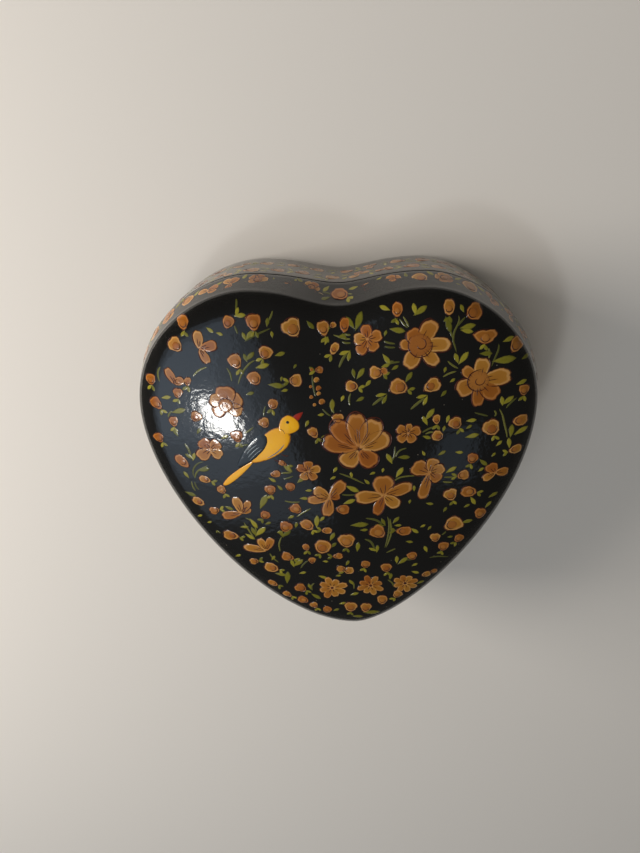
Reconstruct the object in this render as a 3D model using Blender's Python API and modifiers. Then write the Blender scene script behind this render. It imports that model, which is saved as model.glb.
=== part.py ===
"""Heart-shaped trinket box: a papier-mache base tray with a glued-in collar, and a domed lift-off lid.

Blender 4.5, metres, +Z up.  The box rests flat on its floor panel at Z = 0, with the heart's point
towards -Y and its two lobes towards +Y.  The origin is under the middle of the box's outer sizes.
Each glued-up piece is its own object.  The base's three pieces hang on one empty and the lid's two
on another, so moving the empty "lid" straight up takes the lid off.
"""

import math

import bmesh
import bpy
from mathutils import Vector

MM = 0.001

# Driving dimensions of the whole box
WIDTH = 114.3 * MM           # across the lobes, 4 1/2 inches
LENGTH = 116.0 * MM          # from the point to the tops of the lobes
HEIGHT = 38.1 * MM           # resting face to the top of the dome, 1 1/2 inches

# The heart's outline.  It is shaped by hand, so its two sides differ a little and the point leans.
POINT_Y = -LENGTH / 2
LOBE_Y = LENGTH / 2
WIDEST_Y = 21.2 * MM
NOTCH_DEPTH = 2.85 * MM      # how far the notch dips below the lobes
NOTCH_X = 0.9 * MM
LEFT_SHARE = 0.503           # share of the width that lies left of X = 0
RIGHT_LOBE_X = 23.3 * MM
LEFT_LOBE_X = -22.7 * MM
POINT_LEAN = 4.4 * MM        # the point's shift towards +X
# How far each curve keeps the direction that it starts or ends with
NOTCH_REACH = 5.7 * MM
LOBE_IN_REACH = 10.9 * MM
LOBE_OUT_SHARE = 0.413       # of the distance from the lobe's top to the side
SIDE_REACH = 23.7 * MM
RIGHT_FLANK_REACH = 35.9 * MM
LEFT_FLANK_REACH = 32.3 * MM
RIGHT_POINT_REACH = 16.9 * MM
LEFT_POINT_REACH = 27.3 * MM

# Heights and thicknesses
WALL_THICK = 2.6 * MM        # pressed paper pulp
FLOOR_THICK = 2.6 * MM
COLLAR_THICK = 1.6 * MM
GAP = 0.3 * MM               # glue line, and the lid's running gap over the collar
PARTING_Z = 22.6 * MM        # where lid and base meet
LIP_HEIGHT = 1.0 * MM        # the lid's wall stands upright this far and then leans in
GLUE_Z = 27.0 * MM           # where the crown is glued on the lid's wall
COLLAR_TOP_Z = 26.2 * MM
EDGE_ROUND = 0.5 * MM
RIM_ROUND = 0.25 * MM

# The lid's outside: a wall that leans in, a shoulder rounded as a quarter ellipse, and a low dome
EDGE_Z = 31.2 * MM           # where the wall meets the shoulder
EDGE_IN = 1.9 * MM           # how far the wall has leaned in there
NOTCH_EXTRA_IN = 1.6 * MM    # it leans in further at the notch
NOTCH_EXTRA_WIDTH = 12.0 * MM
SHOULDER_IN = 6.5 * MM
SHOULDER_UP = 2.8 * MM
DOME_RISE = HEIGHT - EDGE_Z - SHOULDER_UP
DOME_CENTRE = Vector((0.0, 6.0 * MM))
VALLEY_DEPTH = 1.2 * MM      # a soft dip that runs in from the notch
VALLEY_WIDTH = 13.0 * MM
VALLEY_REACH = 8.0 * MM
# The crown's inside has a smaller shoulder, which keeps the wall at its thickness
INNER_EDGE_Z = EDGE_Z - 0.8 * MM
INNER_SHOULDER_IN = SHOULDER_IN - WALL_THICK
INNER_SHOULDER_UP = EDGE_Z + SHOULDER_UP - WALL_THICK - INNER_EDGE_Z

OUTLINE_POINTS = 96
SHOULDER_STEPS = 6
DOME_STEPS = 6
COLLECTION = "heart_trinket_box"


# ---------------------------------------------------------------------------------- the outline

def bezier(start, leave, arrive, end, share):
    """The point at share (0 to 1) along a cubic Bezier curve."""
    rest = 1.0 - share
    return (start * rest ** 3 + leave * (3 * rest ** 2 * share)
            + arrive * (3 * rest * share ** 2) + end * share ** 3)


def half_curves(side_x, lobe_x, flank_reach, point_reach):
    """The three curves of one side, from the notch over the lobe and down the flank to the point."""
    way = Vector((math.copysign(1.0, side_x), 0.0))
    down = Vector((0.0, -1.0))
    notch = Vector((NOTCH_X, LOBE_Y - NOTCH_DEPTH))
    lobe = Vector((lobe_x, LOBE_Y))
    side = Vector((side_x, WIDEST_Y))
    point = Vector((POINT_LEAN, POINT_Y))
    out = LOBE_OUT_SHARE * abs(side_x - lobe_x)
    return [
        (notch, notch + way * NOTCH_REACH, lobe - way * LOBE_IN_REACH, lobe),
        (lobe, lobe + way * out, side - down * SIDE_REACH, side),
        (side, side + down * flank_reach, point + way * point_reach, point),
    ]


def evenly_spaced(path, count):
    """count points spaced evenly along a closed path of many points."""
    closed = path + [path[0]]
    travelled = [0.0]
    for a, b in zip(closed, closed[1:]):
        travelled.append(travelled[-1] + (b - a).length)
    spaced = []
    k = 0
    for i in range(count):
        goal = travelled[-1] * i / count
        while travelled[k + 1] < goal:
            k += 1
        share = (goal - travelled[k]) / (travelled[k + 1] - travelled[k])
        spaced.append(closed[k].lerp(closed[k + 1], share))
    return spaced


def heart_outline():
    """The box's outer outline as points, clockwise seen from above, starting at the notch."""
    steps = 60
    left_x = -WIDTH * LEFT_SHARE
    right_x = WIDTH + left_x
    right_side = half_curves(right_x, RIGHT_LOBE_X, RIGHT_FLANK_REACH, RIGHT_POINT_REACH)
    left_side = half_curves(left_x, LEFT_LOBE_X, LEFT_FLANK_REACH, LEFT_POINT_REACH)
    right = [bezier(*curve, k / steps) for curve in right_side for k in range(steps)]
    left = [bezier(*curve, k / steps) for curve in left_side for k in range(1, steps + 1)]
    middle = Vector(((left_x + right_x) / 2, 0.0))
    return evenly_spaced([p - middle for p in right + left[::-1]], OUTLINE_POINTS)


def inset(outline, distances):
    """The outline moved inwards, square to itself, by its own distance at each point."""
    moved = []
    for i, point in enumerate(outline):
        along = outline[(i + 1) % len(outline)] - outline[i - 1]
        inward = Vector((along.y, -along.x)).normalized()
        moved.append(point + inward * distances[i])
    return moved


def inset_evenly(outline, distance):
    return inset(outline, [distance] * len(outline))


# ------------------------------------------------------------------------------- the lid's shape

def edge_in(point):
    """How far the lid's wall has leaned in at its upper edge, above this point of the outline."""
    at_notch = math.exp(-((point.x - NOTCH_X) / NOTCH_EXTRA_WIDTH) ** 2) if point.y > 0 else 0.0
    return EDGE_IN + NOTCH_EXTRA_IN * at_notch


def dome_height(place, out_share):
    """The dome's own height at a share (0 middle, 1 outline) of the way out, less the valley."""
    back = max(0.0, (LOBE_Y - NOTCH_DEPTH - place.y) / VALLEY_REACH)
    across = math.exp(-((place.x - NOTCH_X) / VALLEY_WIDTH) ** 2)
    valley = VALLEY_DEPTH * across * back * math.exp(1.0 - back)
    return DOME_RISE * (1.0 - out_share ** 2) - valley


def wall_ring(outline, z, skin, upright_z, edge_z):
    """A level ring on the lid's wall, which is upright to upright_z and leans in up to edge_z."""
    lean = max(0.0, (z - upright_z) / (edge_z - upright_z))
    ring = inset(outline, [edge_in(p) * lean + skin for p in outline])
    return [Vector((p.x, p.y, z)) for p in ring]


def outside_ring(outline, z):
    return wall_ring(outline, z, 0.0, PARTING_Z + LIP_HEIGHT, EDGE_Z)


def inside_ring(outline, z):
    return wall_ring(outline, z, WALL_THICK, GLUE_Z, INNER_EDGE_Z)


def crown_skin(outline, skin, edge_z, shoulder_in, shoulder_up):
    """Rings over the shoulder and the dome, from the wall's edge up to the single point on top."""
    rings = []
    for k in range(SHOULDER_STEPS + 1):
        turn = math.pi / 2 * k / SHOULDER_STEPS
        over = shoulder_in * (1.0 - math.cos(turn))
        places = inset(outline, [edge_in(p) + skin + over for p in outline])
        level = edge_z + shoulder_up * math.sin(turn)
        rings.append((places, level))
    for k in range(1, DOME_STEPS):
        scale = 1.0 - k / DOME_STEPS
        rings.append(([DOME_CENTRE + (p - DOME_CENTRE) * scale for p in places], level))
    raised = []
    for ring, level in rings:
        shares = [(p - DOME_CENTRE).length / (o - DOME_CENTRE).length for p, o in zip(ring, outline)]
        raised.append([Vector((p.x, p.y, level + dome_height(p, s))) for p, s in zip(ring, shares)])
    top = Vector((DOME_CENTRE.x, DOME_CENTRE.y, level + dome_height(DOME_CENTRE, 0.0)))
    return raised + [[top]]


# ------------------------------------------------------------------------------------- the pieces

def lacquer(name, colour, roughness):
    """A plain painted finish."""
    material = bpy.data.materials.new(name)
    material.use_nodes = True
    shader = material.node_tree.nodes["Principled BSDF"]
    shader.inputs["Base Color"].default_value = (*colour, 1.0)
    shader.inputs["Roughness"].default_value = roughness
    shader.inputs["Metallic"].default_value = 0.0
    return material


def add_object(name, data, material, parent):
    data.materials.append(material)
    piece = bpy.data.objects.new(name, data)
    bpy.data.collections[COLLECTION].objects.link(piece)
    piece.parent = parent
    return piece


def plate(name, outlines, low_z, high_z, rounding, material, parent):
    """A flat piece between two heights: one outline makes a panel, and two make a ring."""
    curve = bpy.data.curves.new(name, "CURVE")
    curve.dimensions = "2D"
    curve.fill_mode = "BOTH"
    curve.extrude = (high_z - low_z) / 2
    for outline in outlines:
        spline = curve.splines.new("POLY")
        spline.points.add(len(outline) - 1)
        spline.points.foreach_set("co", [c for p in outline for c in (p.x, p.y, 0.0, 1.0)])
        spline.use_cyclic_u = True
    piece = add_object(name, curve, material, parent)
    piece.location.z = (low_z + high_z) / 2
    weld = piece.modifiers.new("weld_caps", "WELD")
    weld.merge_threshold = 0.01 * MM
    bevel = piece.modifiers.new("rounded_rims", "BEVEL")
    bevel.width = rounding
    bevel.segments = 2
    bevel.limit_method = "ANGLE"
    bevel.angle_limit = math.radians(50)
    return piece


def loft(name, rings, material, parent):
    """A closed body through rings of points.  A ring of one point closes the body's end."""
    shape = bmesh.new()
    made = [[shape.verts.new(p) for p in ring] for ring in rings]
    for one, two in zip(made, made[1:]):
        count = max(len(one), len(two))
        for i in range(count):
            j = (i + 1) % count
            corners = [one[i % len(one)], one[j % len(one)], two[j % len(two)], two[i % len(two)]]
            shape.faces.new(dict.fromkeys(corners))
    if len(rings[0]) > 1:
        bmesh.ops.remove_doubles(shape, verts=shape.verts, dist=0.001 * MM)
    bmesh.ops.recalc_face_normals(shape, faces=shape.faces)
    mesh = bpy.data.meshes.new(name)
    shape.to_mesh(mesh)
    shape.free()
    mesh.shade_smooth()
    mesh.set_sharp_from_angle(angle=math.radians(40))
    return add_object(name, mesh, material, parent)


# --------------------------------------------------------------------------------------- the box

def build_base(outer, black, inside, collar_paint):
    base = bpy.data.objects.new("base", None)
    bpy.data.collections[COLLECTION].objects.link(base)
    foot_z = FLOOR_THICK + GAP
    wall_inner = inset_evenly(outer, WALL_THICK)
    collar_outer = inset_evenly(outer, WALL_THICK + GAP)
    collar_inner = inset_evenly(outer, WALL_THICK + GAP + COLLAR_THICK)
    plate("base_floor", [outer], 0.0, FLOOR_THICK, EDGE_ROUND, inside, base)
    plate("base_wall", [outer, wall_inner], foot_z, PARTING_Z - GAP / 2, RIM_ROUND, black, base)
    plate("base_collar", [collar_outer, collar_inner], foot_z, COLLAR_TOP_Z, RIM_ROUND, collar_paint, base)


def build_lid(outer, black):
    lid = bpy.data.objects.new("lid", None)
    bpy.data.collections[COLLECTION].objects.link(lid)
    foot_z = PARTING_Z + GAP / 2
    top_z = GLUE_Z - GAP / 2
    up = [outside_ring(outer, z) for z in (foot_z, PARTING_Z + LIP_HEIGHT, top_z)]
    down = [inside_ring(outer, z) for z in (top_z, foot_z)]
    loft("lid_wall", up + down + up[:1], black, lid)

    crown_foot = GLUE_Z + GAP / 2
    outside = crown_skin(outer, 0.0, EDGE_Z, SHOULDER_IN, SHOULDER_UP)
    inside = crown_skin(outer, WALL_THICK, INNER_EDGE_Z, INNER_SHOULDER_IN, INNER_SHOULDER_UP)
    feet = [outside_ring(outer, crown_foot), inside_ring(outer, crown_foot)]
    loft("lid_crown", outside[::-1] + feet + inside, black, lid)


def build_box():
    for old in list(bpy.data.objects):
        bpy.data.objects.remove(old)
    collection = bpy.data.collections.new(COLLECTION)
    bpy.context.scene.collection.children.link(collection)
    black = lacquer("black_lacquer", (0.012, 0.013, 0.016), 0.18)
    inside = lacquer("black_inside_paint", (0.016, 0.015, 0.014), 0.5)
    collar_paint = lacquer("collar_paint", (0.03, 0.025, 0.02), 0.45)
    outer = heart_outline()
    build_base(outer, black, inside, collar_paint)
    build_lid(outer, black)


build_box()
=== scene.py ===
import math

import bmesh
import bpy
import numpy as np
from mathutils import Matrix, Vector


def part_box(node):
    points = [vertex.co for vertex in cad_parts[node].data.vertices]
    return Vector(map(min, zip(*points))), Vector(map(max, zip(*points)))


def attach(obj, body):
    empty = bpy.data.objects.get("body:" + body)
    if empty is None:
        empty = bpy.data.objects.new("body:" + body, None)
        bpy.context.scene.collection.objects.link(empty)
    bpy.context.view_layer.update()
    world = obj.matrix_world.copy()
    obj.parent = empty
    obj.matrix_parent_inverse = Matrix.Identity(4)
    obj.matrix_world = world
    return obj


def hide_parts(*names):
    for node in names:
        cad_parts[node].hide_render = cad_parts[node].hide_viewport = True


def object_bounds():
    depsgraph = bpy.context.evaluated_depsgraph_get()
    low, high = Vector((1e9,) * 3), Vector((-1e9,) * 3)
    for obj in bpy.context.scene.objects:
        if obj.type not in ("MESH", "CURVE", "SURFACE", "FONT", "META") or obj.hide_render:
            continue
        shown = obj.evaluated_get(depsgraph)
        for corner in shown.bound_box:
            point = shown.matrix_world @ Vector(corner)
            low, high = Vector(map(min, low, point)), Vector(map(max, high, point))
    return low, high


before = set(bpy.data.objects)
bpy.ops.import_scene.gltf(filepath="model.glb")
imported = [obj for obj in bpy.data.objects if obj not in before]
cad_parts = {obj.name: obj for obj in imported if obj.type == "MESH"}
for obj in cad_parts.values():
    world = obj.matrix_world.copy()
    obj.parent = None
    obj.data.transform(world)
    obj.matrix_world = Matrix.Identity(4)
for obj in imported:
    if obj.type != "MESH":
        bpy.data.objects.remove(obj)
cad_low, cad_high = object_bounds()

# %% [markdown]
# # A heart-shaped papier-mache trinket box
# Boxes like this are pressed from paper pulp over a wooden mould, painted black, decorated by hand
# with small flowers and a bird, and varnished until they shine. The lid lifts straight off a thin
# collar that is glued inside the base. The CAD frame holds the sizes, and this script makes the look:
# smooth shells for the lid and the base, a film of paint for every petal, leaf and stem, and varnish
# over everything. Shapes are worked out in millimetres and turned to metres when a mesh is made.

MM = 0.001


def node_height(node, end):
    """The lowest (end 0) or highest (end 1) level of a CAD node, in mm."""
    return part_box(node)[end][2] / MM


WIDTH = (cad_high[0] - cad_low[0]) / MM
LENGTH = (cad_high[1] - cad_low[1]) / MM
HEIGHT = cad_high[2] / MM
BASE_TOP = node_height("base_wall", 1)
LID_FOOT = node_height("lid_wall", 0)
COLLAR_FOOT = node_height("base_collar", 0)
COLLAR_TOP = node_height("base_collar", 1)
print(f"box {WIDTH:.1f} x {LENGTH:.1f} x {HEIGHT:.1f} mm, parted at {BASE_TOP:.1f} mm")

# %% [markdown]
# ## The heart's outline
# The two sides differ a little and the point leans to one side, as on a mould cut by eye. Three
# Bezier curves make each side: over the lobe, round the shoulder and down the flank. A Bezier curve
# needs only its ends and two handles, so the whole heart rests on the few numbers below, which were
# fitted to the real box's outline.

# %% Outline
NOTCH = np.array([0.9, 55.15])
LOBE_Y = 58.0
SIDE_Y = 21.2
POINT = np.array([4.4, -58.0])
RIGHT = {"side": 56.8, "lobe": 23.3, "flank": 35.9, "point": 16.9}
LEFT = {"side": -57.5, "lobe": -22.7, "flank": 32.3, "point": 27.3}
NOTCH_REACH = 5.7
LOBE_IN_REACH = 10.9
LOBE_OUT_SHARE = 0.413
SIDE_REACH = 23.7
COLUMNS = 480
BEZIER_STEPS = 200


def bezier(start, leave, arrive, end):
    """A cubic Bezier curve: the sum of its four points, each times its Bernstein weight."""
    t = np.linspace(0, 1, BEZIER_STEPS)[:, None]
    return start * (1 - t)**3 + 3 * leave * t * (1 - t)**2 + 3 * arrive * t**2 * (1 - t) + end * t**3


def half_heart(half):
    """One side of the heart, from the notch over the lobe and down the flank to the point."""
    way = np.array([np.sign(half["side"]), 0.0])
    up = np.array([0.0, 1.0])
    lobe = np.array([half["lobe"], LOBE_Y])
    side = np.array([half["side"], SIDE_Y])
    out = LOBE_OUT_SHARE * abs(half["side"] - half["lobe"])
    over = bezier(NOTCH, NOTCH + way * NOTCH_REACH, lobe - way * LOBE_IN_REACH, lobe)
    round_side = bezier(lobe, lobe + way * out, side + up * SIDE_REACH, side)
    flank = bezier(side, side - up * half["flank"], POINT + way * half["point"], POINT)
    return np.concatenate([over, round_side[1:], flank[1:]])


def walk(path, count, closed=True):
    """count places spaced evenly along a path, found by reading x and y at even distances."""
    if closed:
        path = np.concatenate([path, path[:1]])
    gone = np.concatenate([[0], np.cumsum(np.hypot(*np.diff(path, axis=0).T))])
    goal = np.linspace(0, gone[-1], count + 1)[:-1] if closed else np.linspace(0, gone[-1], count)
    return np.stack([np.interp(goal, gone, axis) for axis in path.T], 1), gone[-1]


def inwards(outline):
    """Unit directions that point into the heart, square to the outline at each of its places."""
    along = np.roll(outline, -1, 0) - np.roll(outline, 1, 0)
    along /= np.hypot(*along.T)[:, None]
    return np.stack([along[:, 1], -along[:, 0]], 1)


right_half = half_heart(RIGHT)
left_half = half_heart(LEFT)
whole = np.concatenate([right_half, left_half[-2:0:-1]])
whole[:, 0] -= (whole[:, 0].min() + whole[:, 0].max()) / 2
OUTLINE, GIRTH = walk(whole, COLUMNS)
INWARD = inwards(OUTLINE)
print(f"outline {np.ptp(OUTLINE[:, 0]):.1f} x {np.ptp(OUTLINE[:, 1]):.1f} mm, {GIRTH:.0f} mm round")

# %% [markdown]
# ## The lid's height over every place
# The lid's wall leans in to a fairly crisp edge. Behind the edge a quarter-ellipse shoulder turns
# into a low dome, and a soft valley runs in from the notch. Writing this as one height function
# lets the shell and the paint on it share the same surface, so no petal floats or sinks.

# %% Height function
PARTING = (BASE_TOP + LID_FOOT) / 2
LIP = PARTING + 1.0
EDGE_Z = 31.2
EDGE_IN = 1.9
NOTCH_EXTRA_IN = 1.6
NOTCH_EXTRA_WIDTH = 12.0
SHOULDER_IN = 6.5
SHOULDER_UP = 2.8
DOME_CENTRE = np.array([0.0, 6.0])
DOME_RISE = HEIGHT - EDGE_Z - SHOULDER_UP
VALLEY_DEPTH = 1.2
VALLEY_WIDTH = 13.0
VALLEY_REACH = 8.0
HAND_WAVE = 0.07
HAND_WAVE_X = 7.3
HAND_WAVE_Y = 8.9
HAND_WAVE_SLANT = 5.1
PAINTED_REACH = 0.965
SLOPE_STEP = 0.02
BLOCK = 2000

_turn = np.arctan2(*(OUTLINE - DOME_CENTRE).T[::-1])
_order = np.argsort(_turn)
OUTLINE_TURN = _turn[_order]
OUTLINE_REACH = np.hypot(*(OUTLINE - DOME_CENTRE).T)[_order]


def way_out(places):
    """How far out a place lies between the dome's centre (0) and the outline (1)."""
    arm = places - DOME_CENTRE
    turn = np.arctan2(arm[:, 1], arm[:, 0])
    return np.hypot(*arm.T) / np.interp(turn, OUTLINE_TURN, OUTLINE_REACH, period=2 * np.pi)


def depth_in(places):
    """The distance in from the outline, measured to the nearest of its straight stretches."""
    ahead = np.roll(OUTLINE, -1, 0) - OUTLINE
    nearest = []
    for block in np.array_split(places, len(places) // BLOCK + 1):
        arm = block[:, None] - OUTLINE
        share = np.clip((arm * ahead).sum(2) / (ahead**2).sum(1), 0, 1)
        nearest.append(np.sqrt(((arm - share[..., None] * ahead)**2).sum(2)).min(1))
    return np.concatenate(nearest)


def lean(places):
    """How far the wall has leaned in at its upper edge: a little everywhere, and more at the notch."""
    at_notch = np.exp(-((places[:, 0] - NOTCH[0]) / NOTCH_EXTRA_WIDTH)**2) * (places[:, 1] > 0)
    return EDGE_IN + NOTCH_EXTRA_IN * at_notch


def dome(places):
    """The dome falls with the square of the way out. The valley and a faint waviness are added."""
    back = np.maximum(0, (NOTCH[1] - places[:, 1]) / VALLEY_REACH)
    across = np.exp(-((places[:, 0] - NOTCH[0]) / VALLEY_WIDTH)**2)
    wave = np.sin(places[:, 0] / HAND_WAVE_X + 1) * np.sin(places[:, 1] / HAND_WAVE_Y)
    wave = wave + np.sin(places.sum(1) / HAND_WAVE_SLANT) / 2
    inner = np.clip(1 - way_out(places), 0, 1)
    rise = DOME_RISE * (1 - way_out(places)**2)
    return rise - VALLEY_DEPTH * across * back * np.exp(1 - back) - HAND_WAVE * (1 + wave) * inner


def lid_height(places):
    """The edge's level, plus a quarter ellipse over the shoulder, plus the dome."""
    still = np.clip(1 - (depth_in(places) - lean(places)) / SHOULDER_IN, 0, 1)
    return EDGE_Z + SHOULDER_UP * np.sqrt(1 - still**2) + dome(places)


def on_lid(places, lift):
    """Places (x, y) put on the lid's top and raised by lift, square to the surface."""
    reach = way_out(places)
    places = DOME_CENTRE + (places - DOME_CENTRE) * np.minimum(1, PAINTED_REACH / reach)[:, None]
    east = np.array([SLOPE_STEP, 0.0])
    north = np.array([0.0, SLOPE_STEP])
    slope_x = (lid_height(places + east) - lid_height(places - east)) / (2 * SLOPE_STEP)
    slope_y = (lid_height(places + north) - lid_height(places - north)) / (2 * SLOPE_STEP)
    up = np.stack([-slope_x, -slope_y, np.ones(len(places))], 1)
    up /= np.linalg.norm(up, axis=1)[:, None]
    return np.column_stack([places, lid_height(places)]) + up * np.reshape(lift, (-1, 1))


middle = np.array([[0.0, 6.0], [-30.0, 20.0], [30.0, 20.0], [4.0, -40.0]])
print("lid heights in mm:", lid_height(middle).round(2))

# %% [markdown]
# ## The side walls
# A place on a wall is a distance round the heart and a height. The distance runs anticlockwise from
# the notch, so a motif drawn there reads the right way round from outside. The base's wall bulges by
# less than a millimetre, as pressed pulp does when it dries.

# %% Wall function
BULGE = 0.7
BOTTOM_ROUND = 1.2
LIP_ROUND = 0.45


def wall_inset(heights, leans):
    """The base is drawn in towards its foot by a square law, and the lid leans in above its lip."""
    foot = BULGE * np.clip(1 - heights / BASE_TOP, 0, 1)**2
    above = np.clip((heights - LIP) / (EDGE_Z - LIP), 0, 1)
    return foot + leans * above


def on_wall(places, lift):
    """Places (distance round, height) put on the walls and raised outwards by lift."""
    column = (-places[:, 0] / GIRTH * COLUMNS) % COLUMNS
    near = np.floor(column).astype(int)
    part = (column - near)[:, None]
    here = OUTLINE[near] * (1 - part) + OUTLINE[(near + 1) % COLUMNS] * part
    into = INWARD[near] * (1 - part) + INWARD[(near + 1) % COLUMNS] * part
    into /= np.hypot(*into.T)[:, None]
    inset = wall_inset(places[:, 1], lean(here)) - lift
    return np.column_stack([here + into * inset[:, None], places[:, 1]])


# %% [markdown]
# ## Meshes from rings
# Each shell is a stack of rings: the heart's outline again and again, smaller and higher each time.
# numpy holds the whole stack as one array, and the faces are the squares between neighbouring rings.
# A single point at each end closes the shell, so it is one watertight body with a real thickness.

# %% Ring shells
def add_mesh(name, points, faces, closed=False):
    """A mesh object from points in mm and rows of corner numbers; a closed body is turned outwards."""
    mesh = bpy.data.meshes.new(name)
    mesh.from_pydata((points * MM).tolist(), [], faces)
    if closed:
        body = bmesh.new()
        body.from_mesh(mesh)
        bmesh.ops.recalc_face_normals(body, faces=body.faces)
        body.to_mesh(mesh)
        body.free()
    mesh.shade_smooth()
    mesh.validate()
    piece = bpy.data.objects.new(name, mesh)
    bpy.context.scene.collection.objects.link(piece)
    print(f"{name}: {len(mesh.vertices)} points, {len(mesh.polygons)} faces")
    return piece


def ring_faces(rows, columns):
    """Four corners for every square between neighbouring rings, each ring closed on itself."""
    row, column = np.mgrid[0:rows - 1, 0:columns]
    after = (column + 1) % columns
    corners = [row * columns + column, row * columns + after,
               (row + 1) * columns + after, (row + 1) * columns + column]
    return np.stack(corners, -1).reshape(-1, 4)


def pole_shell(name, rings, first, last):
    """A body through rings that a single point closes at each end."""
    rows, columns = rings.shape[:2]
    points = np.concatenate([rings.reshape(-1, 3), [first, last]])
    column = np.arange(columns)
    after = (column + 1) % columns
    top = np.stack([after, column, np.full(columns, rows * columns)], 1)
    end = (rows - 1) * columns
    low = np.stack([end + column, end + after, np.full(columns, rows * columns + 1)], 1)
    faces = ring_faces(rows, columns).tolist() + top.tolist() + low.tolist()
    return add_mesh(name, points, faces, closed=True)


def level_ring(inset, height):
    """The outline moved in by a distance, at one height or at its own height for each column."""
    return np.column_stack([OUTLINE + INWARD * np.reshape(inset, (-1, 1)),
                            np.broadcast_to(height, COLUMNS)])


def shrunk(ring, scale):
    """A ring's places drawn towards the dome's centre."""
    return DOME_CENTRE + (ring[:, :2] - DOME_CENTRE) * scale


# %% Lid shell
WALL = 2.6
INNER_EDGE_Z = EDGE_Z - 0.8
INNER_UP = EDGE_Z + SHOULDER_UP - WALL - INNER_EDGE_Z
LEANS = lean(OUTLINE)
quarter = np.linspace(0, np.pi / 2, 6)


def lid_outside():
    """From the middle of the dome out over the shoulder, down the wall and round the lip."""
    shoulder = []
    for turn in np.linspace(np.pi / 2, 0, 22):
        places = OUTLINE + INWARD * (LEANS + SHOULDER_IN * (1 - np.cos(turn)))[:, None]
        shoulder.append(np.column_stack([places, lid_height(places)]))
    over_dome = []
    for scale in np.linspace(0, 1, 44)[1:-1]:
        places = shrunk(shoulder[0], scale)
        over_dome.append(np.column_stack([places, lid_height(places)]))
    edge = shoulder[-1]
    lip = level_ring(0, LIP)
    wall = [edge + (lip - edge) * share for share in np.linspace(0, 1, 9)[1:]]
    foot = [level_ring(LIP_ROUND * (1 - np.cos(turn)), LID_FOOT + LIP_ROUND * (1 - np.sin(turn)))
            for turn in quarter]
    return over_dome + shoulder + wall + foot


def lid_inside():
    """Up the inner wall, round the inner shoulder and in to the middle of the ceiling."""
    foot = [level_ring(WALL - LIP_ROUND * (1 - np.sin(turn)), LID_FOOT + LIP_ROUND * (1 - np.cos(turn)))
            for turn in quarter]
    wall = [level_ring(WALL + LEANS * share, LIP + (INNER_EDGE_Z - LIP) * rise)
            for rise, share in ((0.35, 0.0), (0.5, 0.0), (0.75, 0.5), (1.0, 1.0))]
    wall[-1][:, 2] += dome(wall[-1][:, :2])
    shoulder = []
    for turn in np.linspace(0, np.pi / 2, 8)[1:]:
        inset = LEANS + WALL + (SHOULDER_IN - WALL) * (1 - np.cos(turn))
        ring = level_ring(inset, INNER_EDGE_Z + INNER_UP * np.sin(turn))
        ring[:, 2] += dome(ring[:, :2])
        shoulder.append(ring)
    ceiling = []
    for scale in np.linspace(1, 0, 16)[1:-1]:
        places = shrunk(shoulder[-1], scale)
        ceiling.append(np.column_stack([places, INNER_EDGE_Z + INNER_UP + dome(places)]))
    return foot + wall + shoulder + ceiling


outside = lid_outside()
top = [*DOME_CENTRE, lid_height(DOME_CENTRE[None])[0]]
ceiling = [*DOME_CENTRE, INNER_EDGE_Z + INNER_UP + dome(DOME_CENTRE[None])[0]]
inside = lid_inside()
lid_shell = pole_shell("lid_shell", np.array(outside + inside), top, ceiling)
print("lid shell spans", [round(v / MM, 1) for v in lid_shell.dimensions])

# %% [markdown]
# ## The base
# The base is a deep tray: a floor and an upright wall, pressed in one piece. Its shell is one closed
# body too, from the middle of the underside out to the foot, up the wall, over the rim and back down
# inside to the middle of the floor. The foot is rounded, because pulp never fills a sharp corner.

# %% Base shell
FLOOR = node_height("base_floor", 1)
FLOOR_CORNER = 1.5
INNER_RINGS = 6
TRAY_RINGS = 10


def base_rings():
    """Rings over the underside, the foot, the wall, the rim, the inner wall and the tray's floor."""
    foot_in = wall_inset(np.zeros(COLUMNS), LEANS)
    under = level_ring(foot_in + BOTTOM_ROUND, 0)
    underside = [np.column_stack([shrunk(under, scale), np.zeros(COLUMNS)])
                 for scale in np.linspace(0, 1, 12)[1:]]
    foot = [level_ring(foot_in + BOTTOM_ROUND * (1 - np.sin(turn)), BOTTOM_ROUND * (1 - np.cos(turn)))
            for turn in quarter[1:]]
    heights = np.linspace(BOTTOM_ROUND, BASE_TOP - LIP_ROUND, 14)[1:]
    wall = [level_ring(wall_inset(np.full(COLUMNS, z), LEANS), z) for z in heights]
    rim = [level_ring(LIP_ROUND * (1 - np.cos(turn)), BASE_TOP - LIP_ROUND * (1 - np.sin(turn)))
           for turn in quarter[1:]]
    inner_rim = [level_ring(WALL - LIP_ROUND * (1 - np.sin(turn)), BASE_TOP - LIP_ROUND * (1 - np.cos(turn)))
                 for turn in quarter]
    inner = [level_ring(WALL, z) for z in np.linspace(BASE_TOP - 1, FLOOR + FLOOR_CORNER, INNER_RINGS)]
    corner = [level_ring(WALL + FLOOR_CORNER * (1 - np.cos(turn)), FLOOR + FLOOR_CORNER * (1 - np.sin(turn)))
              for turn in quarter[1:]]
    tray = [np.column_stack([shrunk(corner[-1], scale), np.full(COLUMNS, FLOOR)])
            for scale in np.linspace(1, 0, TRAY_RINGS + 2)[1:-1]]
    return underside + foot + wall + rim + inner_rim + inner + corner + tray


tray = base_rings()
base_shell = pole_shell("base_shell", np.array(tray), [*DOME_CENTRE, 0], [*DOME_CENTRE, FLOOR])

# %% [markdown]
# ## The collar
# The collar is a long strip of board, bent round the inside of the wall and glued there. It stands
# a few millimetres above the rim and keeps the lid in place. Its ends meet in a butt joint near the
# point, so it is made the way it is built: a rounded profile carried along an open path.

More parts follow.
